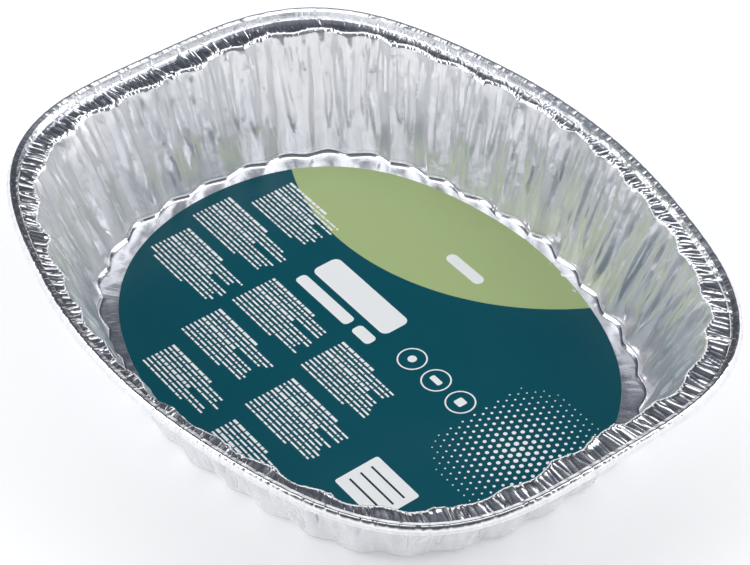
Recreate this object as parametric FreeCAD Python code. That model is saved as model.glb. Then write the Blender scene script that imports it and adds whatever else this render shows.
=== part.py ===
import FreeCAD
import Part
import math
import os

V = FreeCAD.Vector

# Driving sizes, in millimetres: +X is the long way of the pan and +Z is up

RIM_LENGTH = 410.0
RIM_WIDTH = 320.0
TOP_LENGTH = 368.0
TOP_WIDTH = 296.0
BASE_LENGTH = 322.0
BASE_WIDTH = 254.0
HEIGHT = 75.0

# How much squarer than an ellipse each outline is: its 4th, 6th and 8th waves

RIM_WAVES = (-4.1, -4.6, -1.3)
TOP_WAVES = (-4.3, -4.7, -1.5)
BASE_WAVES = (-2.1, -2.8, 0.0)
SHEET_WAVES = (-0.5, -1.0, 0.0)

# The foil and the flutes pressed in its wall

FOIL = 0.115
FLUTES = 36
FLUTE_DEPTH = 3.2
FLUTE_POWER = 1.5
CUSP_SHARE = 0.55
FLUTE_PHASE = 0.15
FLUTE_SIDES = 8
RIM_SIDES = 2

# The rim: the wall's fold, the gutter, the shoulder, the crest and the curled lip

FOLD_DROP = 6.0
GUTTER_INSET = 6.6
GUTTER_DROP = 5.6
SHOULDER_INSET = 5.8
SHOULDER_DROP = 1.2
CREST_INSET = 2.6
CREST_RADIUS = 1.0
CREST_START = 110.0
LEG_TURN = 35.0
LIP_DROP = 3.6
LIP_RADIUS = 0.8
LIP_END = -185.0
LIP_SIDES = 4

# How far each bend reaches along the foil, and in how many steps it turns

BASE_BEND = 2.4
BASE_STEPS = 3
FOLD_BEND = 1.2
GUTTER_BEND = 0.9

# The printed sheet that lies on the base

SHEET = 0.3
SHEET_LENGTH = 306.0
SHEET_WIDTH = 240.0
SHEET_POINTS = 48


def make_outline(length, width, waves):
    """Radius of a squarish oval at an angle, from its length and width."""
    four, six, eight = waves
    mean = (length + width) / 4 - four - eight
    oval = (length - width) / 4 - six

    def radius(angle):
        total = mean + oval * math.cos(2 * angle)
        total += four * math.cos(4 * angle)
        total += six * math.cos(6 * angle)
        return total + eight * math.cos(8 * angle)

    return radius


def outline_point(radius, angle, inset):
    """Point on an outline that is set in by a distance, square to its edge."""
    step = 1e-4
    here = radius(angle)
    slope = (radius(angle + step) - radius(angle - step)) / (2 * step)
    cos, sin = math.cos(angle), math.sin(angle)
    normal = V(slope * sin + here * cos, here * sin - slope * cos, 0)
    normal.normalize()
    return V(here * cos, here * sin, 0) - normal * inset


def flute_angles(radius, inset):
    """Angles that cut an outline into equal lengths, one length to a flute."""
    fine = 3600
    start = math.pi / 2
    step = 2 * math.pi / fine
    walk = [0.0]
    last = outline_point(radius, start, inset)
    for index in range(1, fine + 1):
        point = outline_point(radius, start + index * step, inset)
        walk.append(walk[-1] + (point - last).Length)
        last = point
    angles = []
    spot = 1
    for index in range(FLUTES):
        goal = walk[-1] * (index + 0.5 - FLUTE_PHASE) / FLUTES
        while walk[spot] < goal:
            spot += 1
        part = (goal - walk[spot - 1]) / (walk[spot] - walk[spot - 1])
        angles.append(start + (spot - 1 + part) * step)
    return angles + [angles[0] + 2 * math.pi]


def ring(outline, inset, height, sides, depth=0.0):
    """A level line of points round the pan, each flute swelling out between cusps."""
    radius, angles = outline
    points = []
    for first, last in zip(angles, angles[1:]):
        for side in range(sides):
            share = side / sides
            swell = depth * (math.sin(math.pi * share) ** FLUTE_POWER - CUSP_SHARE)
            point = outline_point(radius, first + (last - first) * share, inset - swell)
            points.append(V(point.x, point.y, height))
    return points


def blend(start, end, share):
    """The level line part of the way from one to another."""
    return [a + (b - a) * share for a, b in zip(start, end)]


def towards(corner, other, reach):
    """The level line that lies a short way from a corner, on the way to another."""
    return [a + (b - a) * (reach / (b - a).Length) for a, b in zip(corner, other)]


def bend(before, corner, after, reach, steps):
    """Level lines that turn a corner smoothly, within a reach on either side."""
    start = towards(corner, before, reach)
    end = towards(corner, after, reach)
    rings = []
    for index in range(steps + 1):
        share = index / steps
        rings.append(blend(blend(start, corner, share), blend(corner, end, share), share))
    return rings


def around(x, z, radius, degrees):
    """A point of the section on an arc about a centre."""
    angle = math.radians(degrees)
    return x + radius * math.cos(angle), z + radius * math.sin(angle)


def section():
    """The pan's section as (out from the rim, up), from the base to the lip's end."""
    base_x = -(RIM_LENGTH - BASE_LENGTH + RIM_WIDTH - BASE_WIDTH) / 4
    top_x = -(RIM_LENGTH - TOP_LENGTH + RIM_WIDTH - TOP_WIDTH) / 4
    points = [
        (base_x - BASE_BEND * 2, FOIL),
        (base_x, FOIL),
        (top_x, HEIGHT - FOLD_DROP),
        (-GUTTER_INSET, HEIGHT - GUTTER_DROP),
        (-SHOULDER_INSET, HEIGHT - SHOULDER_DROP),
    ]
    for turn in (CREST_START, (CREST_START + LEG_TURN) / 2, LEG_TURN):
        points.append(around(-CREST_INSET, HEIGHT - CREST_RADIUS, CREST_RADIUS, turn))
    for index in range(LIP_SIDES + 1):
        turn = LEG_TURN + (LIP_END - LEG_TURN) * index / LIP_SIDES
        points.append(around(-LIP_RADIUS, HEIGHT - LIP_DROP, LIP_RADIUS, turn))
    return points


def set_off(points, distance):
    """The other face of the foil: a bent line moved to its right by a thickness."""
    ways = []
    for (x0, z0), (x1, z1) in zip(points, points[1:]):
        size = math.hypot(x1 - x0, z1 - z0)
        ways.append(((z1 - z0) / size, (x0 - x1) / size))
    moved = []
    for (x, z), before, after in zip(points, ways[:1] + ways, ways + ways[-1:]):
        stretch = distance / (1 + before[0] * after[0] + before[1] * after[1])
        moved.append((x + (before[0] + after[0]) * stretch, z + (before[1] + after[1]) * stretch))
    return moved


def skin(points, base_x, top_x, base, top, rim):
    """Level lines of one face of the foil, from the flat base out to the lip's end."""
    flat, corner, fold, gutter = points[:4]
    base_flat = ring(base, base_x - flat[0], flat[1], FLUTE_SIDES, FLUTE_DEPTH)
    base_edge = ring(base, base_x - corner[0], corner[1], FLUTE_SIDES, FLUTE_DEPTH)
    wall_top = ring(top, top_x - fold[0], fold[1], FLUTE_SIDES, FLUTE_DEPTH)
    flange = ring(rim, -gutter[0], gutter[1], FLUTE_SIDES)
    rings = bend(base_flat, base_edge, wall_top, BASE_BEND, BASE_STEPS)
    rings += bend(base_edge, wall_top, flange, FOLD_BEND, 1)
    round_fold = ring(top, top_x - fold[0], fold[1], RIM_SIDES)
    round_gutter = ring(rim, -gutter[0], gutter[1], RIM_SIDES)
    edge = [ring(rim, -x, z, RIM_SIDES) for x, z in points[4:]]
    rings += bend(round_fold, round_gutter, edge[0], GUTTER_BEND, 1)
    return rings + edge


class Foil:
    """Gathers the points and facets of the pan."""

    def __init__(self):
        self.points = []
        self.facets = []

    def add(self, points):
        """Number the points of a level line."""
        first = len(self.points)
        self.points += points
        return list(range(first, len(self.points)))

    def band(self, lower, upper, turned):
        """Facets between two level lines, the lower as fine as the upper or finer."""
        many = len(lower) // len(upper)
        for index, near in enumerate(upper):
            far = upper[(index + 1) % len(upper)]
            run = [lower[(index * many + k) % len(lower)] for k in range(many + 1)]
            middle = many // 2
            for k in range(many):
                self.facet(run[k], run[k + 1], far if k >= middle else near, turned)
            self.facet(run[middle], far, near, turned)

    def facet(self, a, b, c, turned):
        """One facet, turned over on the lower face of the foil."""
        self.facets.append((a, c, b) if turned else (a, b, c))

    def side(self, rings, turned):
        """One face of the foil, closed over the flat base."""
        numbered = [self.add(points) for points in rings]
        edge = numbered[0]
        centre = self.add([V(0, 0, rings[0][0].z)])[0]
        for index, near in enumerate(edge):
            self.facet(centre, near, edge[(index + 1) % len(edge)], turned)
        for lower, upper in zip(numbered, numbered[1:]):
            self.band(lower, upper, not turned)
        return numbered[-1]


def build_pan():
    """The whole pan, pressed from one sheet of foil."""
    rim_radius = make_outline(RIM_LENGTH, RIM_WIDTH, RIM_WAVES)
    top_radius = make_outline(TOP_LENGTH, TOP_WIDTH, TOP_WAVES)
    base_radius = make_outline(BASE_LENGTH, BASE_WIDTH, BASE_WAVES)
    rim = (rim_radius, flute_angles(rim_radius, GUTTER_INSET))
    top = (top_radius, flute_angles(top_radius, 0.0))
    base = (base_radius, flute_angles(base_radius, 0.0))
    upper = section()
    base_x, top_x = upper[1][0], upper[2][0]
    foil = Foil()
    upper_end = foil.side(skin(upper, base_x, top_x, base, top, rim), False)
    lower_end = foil.side(skin(set_off(upper, FOIL), base_x, top_x, base, top, rim), True)
    foil.band(upper_end, lower_end, True)
    shape = Part.Shape()
    shape.makeShapeFromMesh((foil.points, foil.facets), 0.0001)
    pan = Part.makeSolid(shape)
    if pan.Volume < 0:
        pan.reverse()
    return pan.removeSplitter()


def build_sheet():
    """The printed sheet, cut to a squarish oval and lying on the base."""
    radius = make_outline(SHEET_LENGTH, SHEET_WIDTH, SHEET_WAVES)
    points = []
    for index in range(SHEET_POINTS):
        angle = index * 2 * math.pi / SHEET_POINTS
        points.append(V(radius(angle) * math.cos(angle), radius(angle) * math.sin(angle), FOIL))
    edge = Part.BSplineCurve()
    edge.interpolate(Points=points, PeriodicFlag=True)
    return Part.Face(Part.Wire([edge.toShape()])).extrude(V(0, 0, SHEET))


os.makedirs("parts", exist_ok=True)
build_pan().exportStep("parts/foil_pan.step")
build_sheet().exportStep("parts/printed_sheet.step")
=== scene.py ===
import math
import bpy
import numpy as np
from mathutils import Matrix, Vector


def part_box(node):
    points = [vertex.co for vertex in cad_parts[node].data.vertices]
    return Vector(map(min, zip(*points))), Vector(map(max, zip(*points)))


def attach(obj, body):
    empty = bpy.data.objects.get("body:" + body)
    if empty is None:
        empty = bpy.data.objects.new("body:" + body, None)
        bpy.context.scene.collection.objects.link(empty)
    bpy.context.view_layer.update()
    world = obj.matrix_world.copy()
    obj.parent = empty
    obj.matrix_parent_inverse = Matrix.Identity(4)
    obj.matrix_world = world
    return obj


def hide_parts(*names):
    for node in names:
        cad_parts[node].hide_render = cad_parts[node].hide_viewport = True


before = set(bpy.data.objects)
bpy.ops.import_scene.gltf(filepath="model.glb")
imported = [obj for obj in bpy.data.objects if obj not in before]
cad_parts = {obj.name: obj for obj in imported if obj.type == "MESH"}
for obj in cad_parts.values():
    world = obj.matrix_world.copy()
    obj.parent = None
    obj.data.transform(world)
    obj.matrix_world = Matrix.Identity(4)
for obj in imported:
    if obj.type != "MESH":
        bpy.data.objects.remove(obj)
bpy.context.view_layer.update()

MM = 0.001

# The pan in millimetres; its overall sizes come from the solid's box in model.glb

PAN_LOW, PAN_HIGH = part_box("foil_pan")
RIM_LENGTH = (PAN_HIGH[0] - PAN_LOW[0]) / MM
RIM_WIDTH = (PAN_HIGH[1] - PAN_LOW[1]) / MM
HEIGHT = PAN_HIGH[2] / MM
TOP_LENGTH = 368.0
TOP_WIDTH = 296.0
BASE_LENGTH = 322.0
BASE_WIDTH = 254.0
RIM_WAVES = (-4.1, -4.6, -1.3)
TOP_WAVES = (-4.3, -4.7, -1.5)
BASE_WAVES = (-2.1, -2.8, 0.0)
FOIL = 0.115
FLUTES = 36
FLUTE_DEPTH = 3.2
FLUTE_POWER = 1.5
CUSP_SHARE = 0.55
FLUTE_PHASE = 0.15
FLUTE_PITCH = 28.5
FOLD_DROP = 6.0
GUTTER_INSET = 6.6
GUTTER_DROP = 5.6
SHOULDER_INSET = 5.8
SHOULDER_DROP = 1.2
CREST_INSET = 2.6
CREST_RADIUS = 1.0
LIP_DROP = 3.6
LIP_RADIUS = 0.8
BASE_BEND = 2.4
FOLD_BEND = 1.8
GUTTER_BEND = 0.9

# How finely the foil is divided, where it turns sharp, and its room inside the solid's box

WALL_COLUMNS = FLUTES * 33
RIM_COLUMNS = WALL_COLUMNS * 2
BASE_INSETS = (20.0, 14.0, 10.0, 6.5)
FLUTED_INSET = 8.0
BASE_SHARES = (0.0, 0.25, 0.5, 0.75, 1.0)
WALL_ROWS = 27
FOLD_SHARES = (0.0, 0.33, 0.67, 1.0)
FLANGE_ROWS = 6
GUTTER_SHARES = (0.0, 0.5, 1.0)
UPSTAND_ROWS = 2
SLOPE_ROWS = 3
CREST_TURNS = (110.0, 72.0, 35.0)
LEG_ROWS = 2
LIP_TURNS = (35.0, -20.0, -75.0, -130.0, -185.0)
SHARP_ANGLE = 40.0
EDGE_ROOM = 0.3

# Places count the way out over the foil: the wall runs from 0 to 1, the flange from 1 to 2 and
# the edge from 2 to 3. Each part has its start and its run; the crest and the lip run by the row.

PLACES = {
    "base bend": (0.0, 0.02),
    "wall": (0.0, 1.0),
    "fold": (0.98, 0.06),
    "flange": (1.0, 1.0),
    "gutter": (1.96, 0.08),
    "upstand": (2.05, 0.15),
    "slope": (2.2, 0.3),
    "crest": (2.5, 0.05),
    "leg": (2.6, 0.2),
    "lip": (2.8, 0.05),
}
BASE_PLACE = 60.0

# The folds in each flute of the wall

PETALS = 3
CREASES = 8
KINKS = 7

# The printed sheet in millimetres; its overall sizes come from its solid's box in model.glb

SHEET_LOW, SHEET_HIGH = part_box("printed_sheet")
SHEET_LENGTH = (SHEET_HIGH[0] - SHEET_LOW[0]) / MM
SHEET_WIDTH = (SHEET_HIGH[1] - SHEET_LOW[1]) / MM
SHEET_UNDER = SHEET_LOW[2] / MM
SHEET_TOP = SHEET_HIGH[2] / MM
SHEET_WAVES = (-0.5, -1.0, 0.0)
SHEET_COLUMNS = 240
CURL_START = 0.8
EDGE_LIFT = 0.7
UNDER_ROOM = 0.02
INK_LIFT = 0.05
DARK_LIFT = 0.07
PRINT_MARGIN = 5.0

# The blocks of bars that stand for small print, in millimetres

ROW_PITCH = 2.75
BOLD_ROWS = (0, 4)
BOLD_HALF = 0.85
FINE_HALF = 0.55
BAR_LENGTHS = (1.6, 7.0)
BAR_GAP = 0.8
LEAST_BAR = 1.2

# Where the wall's satin fades out above and below, in millimetres of height

SATIN_TOP = (66.5, 69.0)
SATIN_FOOT = (0.6, 4.0)

# The arc where the sheet's two colours meet, in millimetres

ARC_CENTRE = (-75.0, 195.0)
ARC_RADIUS = 158.0

# The camera: its place in millimetres, its aim in degrees and its lens

CAMERA_PLACE = (760.5, -534.0, 888.9)
CAMERA_TURN = -54.5
CAMERA_DIP = 42.4
CAMERA_ROLL = -2.03
FOCAL_PIXELS = 2348.0
PHOTO_WIDTH = 750.0
SENSOR = 36.0

# The stage: the floor in millimetres, the softboxes in metres, degrees and watts, and the room's
# brightness from the horizon up, as red, green, blue and alpha

FLOOR_HALF = 4000.0
SOFTBOX_DISTANCE = 2.0
SOFTBOXES = (
    ("top_softbox", 235, 74, (2.6, 0.9), 13.0),
    ("left_softbox", -35, 35, (1.2, 1.2), 18.0),
    ("right_softbox", 145, 35, (1.2, 1.2), 18.0),
)
ROOM_STEPS = (
    (0.0, (1.0, 1.0, 1.0, 1)),
    (0.26, (1.0, 1.0, 1.0, 1)),
    (0.4, (0.05, 0.053, 0.065, 1)),
    (0.63, (0.04, 0.043, 0.055, 1)),
    (0.75, (0.14, 0.155, 0.185, 1)),
    (1.0, (0.2, 0.21, 0.23, 1)),
)
ROOM_STRENGTH = 1.2


# Outlines and level lines

def outline(length, width, waves):
    """Radius of a squarish oval at an array of angles; its waves make it squarer."""
    four, six, eight = waves
    mean = (length + width) / 4 - four - eight
    oval = (length - width) / 4 - six

    def radius(angle):
        total = mean + oval * np.cos(2 * angle) + four * np.cos(4 * angle)
        return total + six * np.cos(6 * angle) + eight * np.cos(8 * angle)

    return radius


def outline_points(radius, angle, inset):
    """Points on an outline set in by a distance, and the way out from each."""
    step = 1e-4
    here = radius(angle)
    slope = (radius(angle + step) - radius(angle - step)) / (2 * step)
    cos, sin = np.cos(angle), np.sin(angle)
    out = np.stack([slope * sin + here * cos, here * sin - slope * cos], axis=1)
    out /= np.linalg.norm(out, axis=1)[:, None]
    set_in = np.broadcast_to(inset, angle.shape)[:, None]
    return np.stack([here * cos, here * sin], axis=1) - out * set_in, out


def flute_angles(radius, inset, turns):
    """Angles for places counted in flutes, with every flute as long as the next."""
    fine = np.linspace(0.0, 2 * math.pi, 3601) + math.pi / 2
    points, _ = outline_points(radius, fine, inset)
    steps = np.linalg.norm(np.diff(points, axis=0), axis=1)
    walk = np.concatenate([[0.0], np.cumsum(steps)])
    goals = walk[-1] * (np.arange(FLUTES) + 0.5 - FLUTE_PHASE) / FLUTES
    cusps = np.interp(goals, walk, fine)
    cusps = np.append(cusps, cusps[0] + 2 * math.pi)
    return np.interp(turns, np.arange(FLUTES + 1), cusps)


def flute_swell(columns):
    """How far the wall swells out at each column; no two flutes are quite alike."""
    turns = np.arange(columns) * FLUTES / columns
    flute = turns.astype(int)
    random = np.random.default_rng(3)
    share = (turns % 1.0) ** random.uniform(0.85, 1.15, FLUTES)[flute]
    fullness = random.uniform(0.65, 1.12, FLUTES)[flute]
    return FLUTE_DEPTH * (fullness * np.sin(math.pi * share) ** FLUTE_POWER - CUSP_SHARE)


class Round:
    """One outline of the pan with its columns, from which level lines are drawn."""

    def __init__(self, radius, inset, columns):
        self.radius = radius
        self.angles = flute_angles(radius, inset, np.arange(columns) * FLUTES / columns)
        self.swell = flute_swell(columns)
        self.out = outline_points(radius, self.angles, 0.0)[1]

    def line(self, inset, height, fluted=False):
        """Points of one level line."""
        inset = inset - (self.swell if fluted else 0.0)
        points = outline_points(self.radius, self.angles, inset)[0]
        return np.column_stack([points, np.full(len(points), height)])


def blend(start, end, share):
    """The level line part of the way from one to another."""
    return start + (end - start) * share


def towards(corner, other, reach):
    """The level line a short way from a corner, on the way to another."""
    gap = other - corner
    return corner + gap * (reach / np.linalg.norm(gap, axis=1))[:, None]


def bend(before, corner, after, reach, shares):
    """Level lines that turn a corner smoothly, within a reach on either side."""
    start = towards(corner, before, reach)
    end = towards(corner, after, reach)
    return [blend(blend(start, corner, s), blend(corner, end, s), s) for s in shares]


# Creases: the foil's spare length gathers in folds that run up the wall and out to the rim

class Creases:
    """Folds given by their place round the pan, width, height and where they run."""

    def __init__(self, seed):
        self.random = np.random.default_rng(seed)
        self.all = []

    def add(self, turn, width, height, span, wander=0.0, lean=0.0, soft=False, taper=0.35):
        """One fold; its span is in places, it wanders and leans, and it tapers from its start."""
        phase = self.random.uniform(0, 2 * math.pi)
        self.all.append((turn, width, height, span, wander, lean, soft, taper, phase))

    def field(self, places, columns):
        """How far the folds lift the foil, for rows at given places."""
        wander_waves, narrowest, fade = 7.0, 0.25, 0.12
        lift = np.zeros((len(places), columns))
        places = np.asarray(places)[:, None]
        step = FLUTES / columns
        for turn, width, height, (start, end), wander, lean, soft, taper, phase in self.all:
            reach = int((width + abs(wander) + abs(lean)) / (FLUTE_PITCH * step)) + 2
            middle = int(round(turn / step))
            near = np.arange(middle - reach, middle + reach + 1)
            drift = wander * np.sin(wander_waves * places + phase) + lean * (places - 1.0)
            narrowing = np.clip((places - start) / taper, narrowest, 1.0)
            away = np.abs((near[None, :] * step - turn) * FLUTE_PITCH - drift)
            ridge = np.clip(1.0 - away / (width * narrowing), 0.0, 1.0)
            if soft:
                ridge = 0.5 - 0.5 * np.cos(math.pi * ridge)
            rise = np.clip((places - start) / (taper * 0.5), 0.0, 1.0)
            fall = np.clip((end - places) / fade, 0.0, 1.0)
            lift[:, near % columns] += height * ridge * rise * fall
        return lift


def either_way(draw, low, high, outward=0.5):
    """The height of a fold that stands out of the foil or sinks into it."""
    return draw(low, high) * (1 if draw(0, 1) < outward else -1)


def wall_creases():
    """Soft petals above the base, long sharp creases over them, and short kinks near the top."""
    creases = Creases(11)
    draw = creases.random.uniform
    for flute in range(FLUTES):
        for index in range(PETALS):
            turn = flute + (index + draw(0.1, 0.9)) / PETALS
            height = either_way(draw, 0.7, 1.6, 0.65)
            span = (draw(0.04, 0.35), draw(0.95, 1.1))
            width, wander, lean = draw(2.6, 4.8), draw(0.2, 1.4), draw(-3.0, 3.0)
            creases.add(turn, width, height, span, wander, lean, soft=True, taper=0.16)
        for index in range(CREASES):
            turn = flute + (index + draw(0.0, 1.0)) / CREASES
            height = either_way(draw, 0.55, 1.3)
            span = (draw(0.1, 0.8), draw(0.85, 1.05))
            width, wander, lean = draw(1.1, 2.1), draw(0.2, 1.2), draw(-5.0, 5.0)
            creases.add(turn, width, height, span, wander, lean, taper=0.3)
        for _ in range(KINKS):
            start = draw(0.4, 0.92)
            turn = flute + draw(0.0, 1.0)
            height = either_way(draw, 0.5, 1.1)
            span = (start, start + draw(0.08, 0.22))
            width, lean = draw(0.9, 1.8), draw(-14.0, 14.0)
            creases.add(turn, width, height, span, 0.0, lean, taper=0.06)
    return creases


def rim_crimps():
    """Fine sharp crimps across the flange, in bunches that crowd at the corners."""
    crimps = Creases(23)
    draw = crimps.random.uniform
    turn = 0.0
    while turn < FLUTES - 0.15:
        # 0 in the middle of each side of the pan, 1 at each of its four corners
        corner = 0.5 - 0.5 * math.cos(4 * math.pi * 2 * turn / FLUTES)
        for _ in range(int(draw(1, 4.5))):
            span = (draw(0.84, 1.0), draw(1.8, 2.3))
            width, height = draw(0.45, 0.85), draw(0.16, 0.46)
            wander, lean = draw(0.0, 0.35), draw(-2.8, 2.8)
            crimps.add(turn, width, height, span, wander, lean, taper=0.1)
            turn += draw(1.1, 2.6) / FLUTE_PITCH
        turn += draw(0.3, 3.2) * (1.1 - 0.8 * corner) / FLUTE_PITCH
    return crimps


def edge_nicks():
    """Small nicks over the raised edge and its lip."""
    nicks = Creases(31)
    draw = nicks.random.uniform
    turn = 0.0
    while turn < FLUTES - 0.1:
        start = draw(1.9, 2.75)
        span = (start, start + draw(0.3, 1.1))
        width, height, lean = draw(0.5, 1.0), draw(0.03, 0.12), draw(-0.9, 0.9)
        nicks.add(turn, width, height, span, 0.1, lean, taper=0.1)
        turn += draw(0.8, 3.6) / FLUTE_PITCH
    return nicks


def slow_waves(places, columns, seed, count, height, most_waves):
    """Gentle unevenness: some waves round the pan that also run up and out."""
    random = np.random.default_rng(seed)
    turns = np.arange(columns) / columns * 2 * math.pi
    places = np.asarray(places)[:, None]
    total = np.zeros((len(places), columns))
    for _ in range(count):
        round_waves = random.integers(3, most_waves)
        up_waves = random.uniform(-6.0, 6.0)
        phase = random.uniform(0, 2 * math.pi)
        total += np.sin(round_waves * turns[None, :] + up_waves * places + phase)
    return total * height / math.sqrt(count)


# The pan

def place_of(part, share):
    """How far out a level line lies, from its share of a part or its row on it."""
    start, run = PLACES[part]
    return start + run * share


class Rows:
    """The foil's level lines from the base out, with the way its face looks at each."""

    def __init__(self):
        self.lines = []
        self.faces = []
        self.places = []

    def add(self, line, face, place):
        """Add one level line, its facing and how far out it lies."""
        size = np.linalg.norm(face, axis=1)[:, None]
        self.lines.append(line)
        self.faces.append(face / size)
        self.places.append(place)


def facing(out, inward, upward):
    """The way a level line's foil looks, from its shares into the pan and up."""
    return np.column_stack([-out * inward, np.full(len(out), upward)])


def base_and_wall(base, top):
    """Level lines of the flat base's border, its bend and the fluted wall."""
    edge = base.line(0.0, FOIL, True)
    flat = base.line(BASE_BEND * 2, FOIL, True)
    fold = top.line(0.0, HEIGHT - FOLD_DROP, True)
    rows = Rows()
    for inset in BASE_INSETS:
        line = base.line(inset, FOIL, inset < FLUTED_INSET)
        rows.add(line, facing(base.out, 0.0, 1.0), -inset / BASE_PLACE)
    for share, line in zip(BASE_SHARES, bend(flat, edge, fold, BASE_BEND, BASE_SHARES)):
        rows.add(line, facing(base.out, share, 1.2 - share), place_of("base bend", share))
    for index in range(1, WALL_ROWS):
        share = index / WALL_ROWS
        look = facing(blend(base.out, top.out, share), 1.0, 0.3)
        rows.add(blend(edge, fold, share), look, place_of("wall", share))
    return rows


def arc_line(rim, inset, drop, size, degrees):
    """A level line on an arc about a centre in the rim, and its angle on that arc."""
    angle = math.radians(degrees)
    in_from_rim = inset + EDGE_ROOM - size * math.cos(angle)
    height = HEIGHT - (drop + EDGE_ROOM) + size * math.sin(angle)
    return rim.line(in_from_rim, height), angle


def rim_and_edge(base, top, rim):
    """Level lines of the fold, the flange, the raised edge, its crest and the curled lip."""
    edge = base.line(0.0, FOIL, True)
    fold = top.line(0.0, HEIGHT - FOLD_DROP, True)
    gutter = rim.line(GUTTER_INSET, HEIGHT - GUTTER_DROP)
    shoulder = rim.line(SHOULDER_INSET, HEIGHT - SHOULDER_DROP)
    crest = [arc_line(rim, CREST_INSET, CREST_RADIUS, CREST_RADIUS, turn) for turn in CREST_TURNS]
    lip = [arc_line(rim, LIP_RADIUS, LIP_DROP, LIP_RADIUS, turn) for turn in LIP_TURNS]
    rows = Rows()
    for share, line in zip(FOLD_SHARES, bend(edge, fold, gutter, FOLD_BEND, FOLD_SHARES)):
        look = facing(top.out, 1.0 - share * 0.9, 0.3 + share)
        rows.add(line, look, place_of("fold", share))
    for index in range(1, FLANGE_ROWS):
        share = index / FLANGE_ROWS
        rows.add(blend(fold, gutter, share), facing(rim.out, 0.0, 1.0), place_of("flange", share))
    turned = bend(fold, gutter, shoulder, GUTTER_BEND, GUTTER_SHARES)
    for share, line in zip(GUTTER_SHARES, turned):
        rows.add(line, facing(rim.out, share, 1.2 - share), place_of("gutter", share))
    for index in range(1, UPSTAND_ROWS):
        share = index / UPSTAND_ROWS
        line = blend(gutter, shoulder, share)
        rows.add(line, facing(rim.out, 1.0, 0.2), place_of("upstand", share))
    for index in range(SLOPE_ROWS):
        share = (index + 0.2) / SLOPE_ROWS
        line = blend(shoulder, crest[0][0], share)
        rows.add(line, facing(rim.out, 0.4, 1.0), place_of("slope", share))
    for index, (line, angle) in enumerate(crest):
        look = facing(rim.out, -math.cos(angle), math.sin(angle))
        rows.add(line, look, place_of("crest", index))
    for index in range(1, LEG_ROWS):
        share = index / LEG_ROWS
        line = blend(crest[-1][0], lip[0][0], share)
        rows.add(line, facing(rim.out, -0.8, 0.6), place_of("leg", share))
    for index, (line, angle) in enumerate(lip):
        look = facing(rim.out, -math.cos(angle), math.sin(angle))
        rows.add(line, look, place_of("lip", index))
    return rows


def ramp(places, start, end):
    """0 as far as one place and 1 from another on, straight between, for each row."""
    return np.clip((places - start) / (end - start), 0.0, 1.0)[:, None]


def press(rows, columns, creases, crimps, nicks):
    """Lift each level line by its folds, crimps and slow waves, and nick the raised edge."""
    places = np.array(rows.places)
    # The wall's folds die out over the inner half of the flange, where the crimps take over
    folds = creases.field(places, columns) * ramp(places, 1.5, 1.0)
    fine = crimps.field(places, columns)
    # The wall also swells and sinks a little, most at half its height
    belly = np.clip(np.sin(np.clip(places, 0, 1) * math.pi), 0.3, 1)[:, None]
    broad = slow_waves(places, columns, 5, 24, 0.3, 60) * belly
    lift = folds + fine + broad * (places < 1.5)[:, None]
    # The crest and lip were rolled tight: they are only crushed a little and nicked, and the
    # nicks run deeper on the outer leg
    crush = slow_waves(places, columns, 8, 30, 0.05, 240)
    crush = np.minimum(crush, 0.25) * ramp(places, 2.1, 2.35)
    deeper = ramp(places, 1.9, 2.15) + 1.6 * ramp(places, 2.55, 2.675)
    dents = nicks.field(places, columns) * deeper
    lift = lift * (1 - ramp(places, 2.2, 2.4)) + crush - dents
    # On the base all folds stand up, never below the foil, and its bare border ripples by the wall
    base = ramp(places, 0.0, -0.125)
    border = (np.abs(places + 0.08) < 0.06)[:, None]
    ripple = np.abs(slow_waves(places, columns, 17, 14, 0.3, 110)) * border
    lift = lift * (1 - base) + np.abs(lift) * base * 0.4 + ripple
    return [line + face * up[:, None] for line, face, up in zip(rows.lines, rows.faces, lift)]


def band(lower, upper):
    """Faces between two level lines, the upper as fine as the lower or twice as fine."""
    count = len(lower)
    faces = []
    if len(upper) == count:
        for k in range(count):
            ahead = (k + 1) % count
            faces.append((lower[k], lower[ahead], upper[ahead], upper[k]))
        return faces
    for k in range(count):
        ahead = (k + 1) % count
        last = (2 * k + 2) % len(upper)
        faces.append((lower[k], upper[2 * k + 1], upper[2 * k]))
        faces.append((lower[k], lower[ahead], upper[2 * k + 1]))
        faces.append((lower[ahead], upper[last], upper[2 * k + 1]))
    return faces


def new_piece(name, points, faces, materials, inks=None, sharp_angle=None):
    """A mesh object from points in millimetres; inks give each face's material."""
    mesh = bpy.data.meshes.new(name)
    mesh.from_pydata([tuple(p) for p in np.asarray(points) * MM], [], faces)
    for material in materials:
        mesh.materials.append(material)
    if inks is not None:
        mesh.polygons.foreach_set("material_index", inks)
    mesh.polygons.foreach_set("use_smooth", [sharp_angle is not None] * len(mesh.polygons))
    if sharp_angle is not None:
        mesh.set_sharp_from_angle(angle=math.radians(sharp_angle))
    piece = bpy.data.objects.new(name, mesh)
    bpy.context.scene.collection.objects.link(piece)
    return piece


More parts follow.
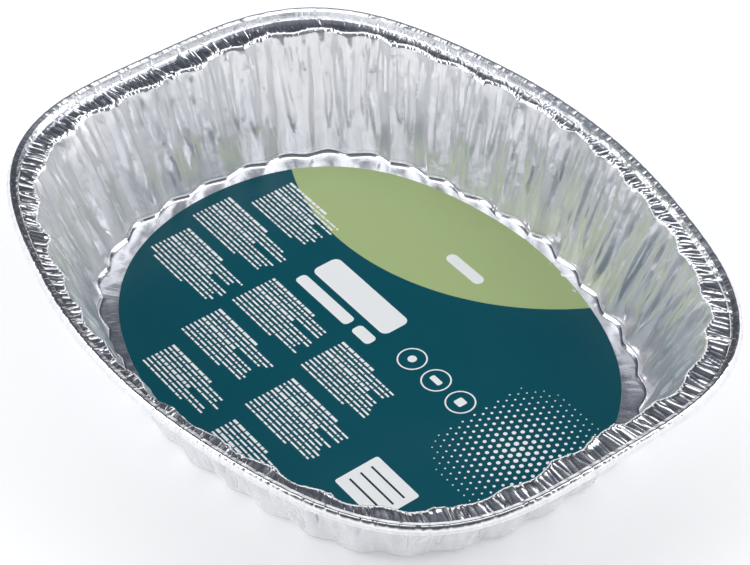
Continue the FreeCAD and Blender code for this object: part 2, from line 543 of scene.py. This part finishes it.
def make_pan(foil):
    """The pan as one pressed skin of foil, from the centre of the base to the lip."""
    rim_radius = outline(RIM_LENGTH, RIM_WIDTH, RIM_WAVES)
    top_radius = outline(TOP_LENGTH, TOP_WIDTH, TOP_WAVES)
    base_radius = outline(BASE_LENGTH, BASE_WIDTH, BASE_WAVES)
    folds = wall_creases(), rim_crimps(), edge_nicks()
    base, top = (Round(radius, 0.0, WALL_COLUMNS) for radius in (base_radius, top_radius))
    lines = press(base_and_wall(base, top), WALL_COLUMNS, *folds)
    base, top = (Round(radius, 0.0, RIM_COLUMNS) for radius in (base_radius, top_radius))
    rim = Round(rim_radius, GUTTER_INSET, RIM_COLUMNS)
    lines += press(rim_and_edge(base, top, rim), RIM_COLUMNS, *folds)
    starts = np.cumsum([0] + [len(line) for line in lines])
    numbers = [range(a, b) for a, b in zip(starts, starts[1:])]
    faces = [tuple(numbers[0])]
    for lower, upper in zip(numbers, numbers[1:]):
        faces += band(lower, upper)
    # No fold stands out of the solid's box or under the floor
    half = np.array([RIM_LENGTH / 2, RIM_WIDTH / 2, HEIGHT])
    points = np.clip(np.vstack(lines), -half * [1, 1, 0], half)
    return new_piece("foil_pan_skin", points, faces, [foil], sharp_angle=SHARP_ANGLE)


# The printed sheet: plain shapes in flat colours, with rows of bars in place of words

CARD, EDGE, WHITE, DARK = range(4)


def circle(x, y, size, sides):
    """Points round a circle."""
    angles = [2 * math.pi * k / sides for k in range(sides)]
    return [(x + size * math.cos(a), y + size * math.sin(a)) for a in angles]


class Print:
    """Gathers the sheet's paper and its ink shapes, all in one mesh."""

    def __init__(self):
        self.radius = outline(SHEET_LENGTH, SHEET_WIDTH, SHEET_WAVES)
        self.points = []
        self.faces = []
        self.inks = []

    def curl(self, x, y):
        """How far the paper curls up from the base near its edge."""
        angle = math.atan2(y, x)
        share = math.hypot(x, y) / float(self.radius(angle))
        near_edge = max(0.0, (share - CURL_START) / (1.0 - CURL_START)) ** 2
        return EDGE_LIFT * near_edge * (0.5 + 0.5 * math.sin(3 * angle + 0.7))

    def raised(self, flat_points, height):
        """Points at a height on the sheet, carried by its curl."""
        return [(x, y, height + self.curl(x, y)) for x, y in flat_points]

    def fits(self, x, y):
        """Whether a place is on the sheet, inside its plain margin."""
        return math.hypot(x, y) < float(self.radius(math.atan2(y, x))) - PRINT_MARGIN

    def add(self, corners, faces, ink):
        """Add faces given by their own corners."""
        first = len(self.points)
        self.points += corners
        self.faces += [tuple(first + k for k in face) for face in faces]
        self.inks += [ink] * len(faces)

    def paper(self):
        """The sheet itself, divided near its edge so that it can curl."""
        count = SHEET_COLUMNS
        angles = np.arange(count) * 2 * math.pi / count
        edge = outline_points(self.radius, angles, 0.0)[0]
        top_shares = (CURL_START, 0.84, 0.88, 0.92, 0.96, 1.0)
        under_shares = (1.0, 0.9, CURL_START)
        rows = [(share, SHEET_TOP) for share in top_shares]
        rows += [(share, SHEET_UNDER + UNDER_ROOM) for share in under_shares]
        corners = []
        for share, height in rows:
            corners += self.raised([(x * share, y * share) for x, y in edge], height)
        last = (len(rows) - 1) * count
        upper_side = tuple(range(count))
        under_side = tuple(range(last + count - 1, last - 1, -1))
        self.add(corners, [upper_side, under_side], CARD)
        for row in range(len(rows) - 1):
            here, beyond = row * count, (row + 1) * count
            for k in range(count):
                ahead = (k + 1) % count
                self.faces.append((here + k, beyond + k, beyond + ahead, here + ahead))
            self.inks += [EDGE if row == len(top_shares) - 1 else CARD] * count

    def shape(self, flat_points, ink):
        """One flat shape of ink; dark ink lies over white."""
        corners = self.raised(flat_points, SHEET_TOP + (DARK_LIFT if ink == DARK else INK_LIFT))
        self.add(corners, [tuple(range(len(corners)))], ink)

    def plain_bar(self, x0, y0, x1, y1, ink):
        """A bar with square corners."""
        self.shape([(x0, y0), (x1, y0), (x1, y1), (x0, y1)], ink)

    def bar(self, x0, y0, x1, y1, corner):
        """A white bar with rounded corners."""
        points = []
        left, right, low, high = x0 + corner, x1 - corner, y0 + corner, y1 - corner
        middles = ((right, high), (left, high), (left, low), (right, low))
        for quarter, (x, y) in enumerate(middles):
            for step in range(5):
                angle = (quarter + step / 4) * math.pi / 2
                points.append((x + corner * math.cos(angle), y + corner * math.sin(angle)))
        self.shape(points, WHITE)

    def ring(self, x, y, size, line, sides=48):
        """A plain white ring."""
        flat_points = circle(x, y, size, sides) + circle(x, y, size - line, sides)
        corners = self.raised(flat_points, SHEET_TOP + INK_LIFT)
        aheads = [(k, (k + 1) % sides) for k in range(sides)]
        self.add(corners, [(k, ahead, sides + ahead, sides + k) for k, ahead in aheads], WHITE)


def text_rows(sheet, random, x0, top, width, rows):
    """A block of short bars set like lines of small print, with bolder and shorter headings."""
    for row in range(rows):
        bold = row in BOLD_ROWS
        half = BOLD_HALF if bold else FINE_HALF
        reach = random.uniform(0.5, 0.75) if bold or row == rows - 1 else random.uniform(0.9, 1.0)
        y = top - row * ROW_PITCH
        x, end = x0, x0 + width * reach
        while x < end - LEAST_BAR:
            long = min(random.uniform(*BAR_LENGTHS), end - x)
            if sheet.fits(x, y) and sheet.fits(x + long, y):
                sheet.plain_bar(x, y - half, x + long, y + half, WHITE)
            x += long + BAR_GAP


def dot_field(sheet):
    """Staggered dots that shrink away from the middle of a round field."""
    middle, reach = (118.0, 12.0), 46.0
    for column in range(18):
        for row in range(26):
            x = 84.0 + column * 4.6 + (2.3 if row % 2 else 0.0)
            y = -38.0 + row * 4.0
            away = math.hypot(x - middle[0], y - middle[1]) / reach
            if away < 1.0 and sheet.fits(x, y):
                sheet.shape(circle(x, y, 0.35 + 1.25 * (1.0 - away), 12), WHITE)


def make_sheet(materials):
    """The loose printed sheet, with its ink shapes lying on it."""
    sheet = Print()
    random = np.random.default_rng(47)
    sheet.paper()
    titles = (
        (-62.0, 9.0, 6.0, 27.0, 4.0), (-62.0, -3.0, -14.0, 4.5, 2.5),
        (-9.0, -3.0, 6.0, 4.5, 2.5), (-24.0, 74.0, 6.0, 81.0, 3.5),
    )
    for title in titles:
        sheet.bar(*title)
    blocks = (
        (-132.0, 44.0, 54.0, 11), (-144.0, 8.0, 66.0, 10), (-70.0, -12.0, 58.0, 11),
        (-136.0, -26.0, 60.0, 11), (-68.0, -50.0, 56.0, 10), (-4.0, -12.0, 54.0, 11),
        (2.0, -50.0, 56.0, 12), (-60.0, -86.0, 58.0, 8), (8.0, -92.0, 48.0, 6),
    )
    for block in blocks:
        text_rows(sheet, random, *block)
    for x in (30.0, 51.0, 72.0):
        sheet.ring(x, 10.0, 8.5, 0.9)
    sheet.shape(circle(30.0, 10.0, 2.6, 20), WHITE)
    sheet.bar(47.0, 8.2, 55.0, 11.8, 1.0)
    sheet.bar(69.2, 7.2, 74.8, 12.8, 1.0)
    sheet.bar(76.0, -76.0, 112.0, -48.0, 1.5)
    for y in (-55.0, -62.0, -69.0):
        sheet.plain_bar(80.0, y - 0.6, 108.0, y + 0.6, DARK)
    dot_field(sheet)
    return new_piece("printed_sheet_card", sheet.points, sheet.faces, materials, sheet.inks)


# Materials

def linear(hex_colour):
    """An sRGB hex colour as linear values with full alpha."""
    values = [int(hex_colour[i:i + 2], 16) / 255 for i in (1, 3, 5)]
    return [v / 12.92 if v < 0.04045 else ((v + 0.055) / 1.055) ** 2.4 for v in values] + [1.0]


def new_material(name):
    """A material with a principled shader, ready for its nodes."""
    material = bpy.data.materials.new(name)
    material.use_nodes = True
    return material, material.node_tree, material.node_tree.nodes["Principled BSDF"]


def add(tree, kind, inputs=None, **settings):
    """Add a node with its settings, and link or set its inputs."""
    node = tree.nodes.new(kind)
    for name, value in settings.items():
        setattr(node, name, value)
    for name, value in (inputs or {}).items():
        if isinstance(value, bpy.types.NodeSocket):
            tree.links.new(value, node.inputs[name])
        else:
            node.inputs[name].default_value = value
    return node


def foil_material():
    """Rolled aluminium foil, pressed cold: bright on the base and rim, satin on the wall."""
    material, tree, shader = new_material("pressed_aluminium_foil")
    spot = add(tree, "ShaderNodeTexCoord").outputs["Object"]
    parts = add(tree, "ShaderNodeSeparateXYZ", {"Vector": spot})
    height = parts.outputs["Z"]
    flat = add(tree, "ShaderNodeCombineXYZ", {"X": parts.outputs["X"], "Y": parts.outputs["Y"]})
    unit = add(tree, "ShaderNodeVectorMath", {0: flat.outputs[0]}, operation="NORMALIZE")
    rise = add(tree, "ShaderNodeMath", {0: height, 1: 0.7}, operation="MULTIPLY")
    up = add(tree, "ShaderNodeCombineXYZ", {"Z": rise.outputs[0]})
    # The unit circle stands for a wall about 170 mm from the middle, so that a scale of 40 puts a
    # rolling streak every 4 mm or so round the pan; they run nearly straight up the wall
    upright = add(tree, "ShaderNodeVectorMath", {0: unit.outputs[0], 1: up.outputs[0]},
                  operation="ADD").outputs[0]
    streaks = add(tree, "ShaderNodeTexNoise", {
        "Vector": upright, "Scale": 40.0, "Detail": 3.0, "Roughness": 0.6,
    }).outputs[0]
    # 150 to the metre puts a shallow dent about every 7 mm, as handling leaves them
    dimples = add(tree, "ShaderNodeTexNoise", {
        "Vector": spot, "Scale": 150.0, "Detail": 3.0,
    }).outputs[0]
    # 1 on the wall, 0 on the base and the rim: the wall's crinkles, which are too fine to show,
    # scatter light as a matt surface would, and so it is given a little less metal there
    below = add(tree, "ShaderNodeMapRange", {
        "Value": height, "From Min": SATIN_TOP[0] * MM, "From Max": SATIN_TOP[1] * MM,
        "To Min": 1.0, "To Max": 0.0,
    }).outputs[0]
    above = add(tree, "ShaderNodeMapRange", {
        "Value": height, "From Min": SATIN_FOOT[0] * MM, "From Max": SATIN_FOOT[1] * MM,
    }).outputs[0]
    wall = add(tree, "ShaderNodeMath", {0: below, 1: above}, operation="MULTIPLY").outputs[0]
    metal = add(tree, "ShaderNodeMapRange", {"Value": wall, "To Min": 1.0, "To Max": 0.62})
    tree.links.new(metal.outputs[0], shader.inputs["Metallic"])
    rough = add(tree, "ShaderNodeMapRange", {"Value": dimples, "To Min": 0.1, "To Max": 0.26})
    tree.links.new(rough.outputs[0], shader.inputs["Roughness"])
    tone = add(tree, "ShaderNodeValToRGB", {"Fac": streaks})
    dull, bright = tone.color_ramp.elements
    dull.position, dull.color = 0.3, linear("#DEE0E4")
    bright.position, bright.color = 0.7, linear("#F0F0F3")
    tree.links.new(tone.outputs[0], shader.inputs["Base Color"])
    depth = add(tree, "ShaderNodeMapRange", {
        "Value": wall, "To Min": 0.35, "To Max": 1.0,
    }).outputs[0]
    long = add(tree, "ShaderNodeBump", {
        "Height": streaks, "Strength": depth, "Distance": 0.4 * MM,
    })
    coarse = add(tree, "ShaderNodeBump", {
        "Height": dimples, "Strength": depth, "Distance": 0.3 * MM, "Normal": long.outputs[0],
    })
    tree.links.new(coarse.outputs[0], shader.inputs["Normal"])
    return material


def paper_finish(tree, shader, roughness):
    """The paper's coating: a soft uneven gloss over barely felt fibres."""
    spot = add(tree, "ShaderNodeTexCoord").outputs["Object"]
    # 18 to the metre: slow swells of about 55 mm, which make the sheet's sheen drift
    warp = add(tree, "ShaderNodeTexNoise", {
        "Vector": spot, "Scale": 18.0, "Detail": 1.0,
    }).outputs[0]
    # 900 to the metre: real fibres are finer, and these are as coarse as they need to be to show
    fibres = add(tree, "ShaderNodeTexNoise", {
        "Vector": spot, "Scale": 900.0, "Detail": 2.0,
    }).outputs[0]
    rough = add(tree, "ShaderNodeMapRange", {
        "Value": warp, "To Min": roughness, "To Max": roughness + 0.12,
    })
    tree.links.new(rough.outputs[0], shader.inputs["Roughness"])
    shader.inputs["Specular IOR Level"].default_value = 0.22
    soft = add(tree, "ShaderNodeBump", {"Height": warp, "Strength": 0.6, "Distance": 2.0 * MM})
    felt = add(tree, "ShaderNodeBump", {
        "Height": fibres, "Strength": 0.25, "Distance": 0.05 * MM, "Normal": soft.outputs[0],
    })
    tree.links.new(felt.outputs[0], shader.inputs["Normal"])
    return spot


def card_material():
    """Coated paper printed in two flat colours that meet along one wide arc: a soft sheen."""
    material, tree, shader = new_material("printed_coated_paper")
    spot = paper_finish(tree, shader, 0.24)
    centre = (ARC_CENTRE[0] * MM, ARC_CENTRE[1] * MM, 0.0)
    gap = add(tree, "ShaderNodeVectorMath", {0: spot, 1: centre}, operation="DISTANCE")
    side = add(tree, "ShaderNodeMath", {0: gap.outputs["Value"], 1: ARC_RADIUS * MM},
               operation="LESS_THAN")
    colours = add(tree, "ShaderNodeValToRGB", {"Fac": side.outputs[0]})
    colours.color_ramp.interpolation = "CONSTANT"
    outside, inside = colours.color_ramp.elements
    outside.color = linear("#004E5B")
    inside.position, inside.color = 0.5, linear("#AABD84")
    tree.links.new(colours.outputs[0], shader.inputs["Base Color"])
    return material


def paper_edge_material():
    """The bare cut edge of white paper, dull and pale."""
    material, tree, shader = new_material("cut_paper_edge")
    paper_finish(tree, shader, 0.6)
    shader.inputs["Base Color"].default_value = linear("#C9D6D8")
    return material


def ink_material(name, hex_colour):
    """Flat printing ink under the paper's own coating, with the same soft sheen."""
    material, tree, shader = new_material(name)
    paper_finish(tree, shader, 0.28)
    shader.inputs["Base Color"].default_value = linear(hex_colour)
    return material


def floor_material():
    """Matt white paper sweep, lit a little through from below so that shadows stay pale."""
    material, tree, shader = new_material("white_paper_floor")
    shader.inputs["Base Color"].default_value = linear("#F6F6F6")
    shader.inputs["Roughness"].default_value = 0.9
    shader.inputs["Emission Color"].default_value = linear("#FFFFFF")
    shader.inputs["Emission Strength"].default_value = 0.2
    return material


# Stage, lights and camera

def direction(azimuth, elevation):
    """The way from the pan to a place round it; azimuth 0 is the front, on -Y."""
    turn, lift = math.radians(azimuth), math.radians(elevation)
    level = math.cos(lift)
    return Vector((math.sin(turn) * level, -math.cos(turn) * level, math.sin(lift)))


def softbox(name, azimuth, elevation, size, power):
    """A rectangular area light aimed at the pan."""
    lamp = bpy.data.lights.new(name, "AREA")
    lamp.shape = "RECTANGLE"
    lamp.size, lamp.size_y = size
    lamp.energy = power
    light = bpy.data.objects.new(name, lamp)
    way = direction(azimuth, elevation)
    light.location = way * SOFTBOX_DISTANCE
    light.rotation_euler = way.to_track_quat("Z", "Y").to_euler()
    bpy.context.scene.collection.objects.link(light)


def make_world():
    """A pale room whose upper part is dim, as a studio's is above its softboxes."""
    world = bpy.data.worlds.new("studio")
    bpy.context.scene.world = world
    world.use_nodes = True
    tree = world.node_tree
    way = add(tree, "ShaderNodeTexCoord").outputs["Generated"]
    up = add(tree, "ShaderNodeSeparateXYZ", {"Vector": way}).outputs["Z"]
    brightness = add(tree, "ShaderNodeValToRGB", {"Fac": up})
    elements = brightness.color_ramp.elements
    elements.remove(elements[1])
    elements[0].color = ROOM_STEPS[0][1]
    for position, colour in ROOM_STEPS[1:]:
        elements.new(position).color = colour
    background = tree.nodes["Background"]
    tree.links.new(brightness.outputs[0], background.inputs["Color"])
    background.inputs["Strength"].default_value = ROOM_STRENGTH


def make_camera():
    """The camera at the photograph's place and lens."""
    turn, dip, roll = (math.radians(v) for v in (CAMERA_TURN, CAMERA_DIP, CAMERA_ROLL))
    level = math.cos(dip)
    ahead = Vector((math.sin(turn) * level, math.cos(turn) * level, -math.sin(dip)))
    right = Vector((math.cos(turn), -math.sin(turn), 0.0))
    above = right.cross(ahead)
    rolled_right = right * math.cos(roll) + above * math.sin(roll)
    rolled_above = above * math.cos(roll) - right * math.sin(roll)
    data = bpy.data.cameras.new("camera")
    data.sensor_width = SENSOR
    data.lens = FOCAL_PIXELS / PHOTO_WIDTH * SENSOR
    data.clip_end = 20.0
    camera = bpy.data.objects.new("camera", data)
    axes = Matrix((rolled_right, rolled_above, -ahead)).transposed()
    camera.matrix_world = Matrix.Translation(Vector(CAMERA_PLACE) * MM) @ axes.to_4x4()
    bpy.context.scene.collection.objects.link(camera)
    bpy.context.scene.camera = camera


def make_floor():
    """A wide plain floor."""
    half = FLOOR_HALF
    points = [(-half, -half, 0), (half, -half, 0), (half, half, 0), (-half, half, 0)]
    floor = new_piece("floor", points, [(0, 1, 2, 3)], [floor_material()])


pan = make_pan(foil_material())
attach(pan, "root")
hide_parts("foil_pan")

# In the order of CARD, EDGE, WHITE and DARK
sheet_materials = [
    card_material(), paper_edge_material(),
    ink_material("white_ink", "#F1F3F3"), ink_material("dark_ink", "#2B3436"),
]
sheet = make_sheet(sheet_materials)
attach(sheet, "root")
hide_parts("printed_sheet")

make_floor()
make_world()
make_camera()
for box in SOFTBOXES:
    softbox(*box)
bpy.context.scene.view_settings.view_transform = "Standard"
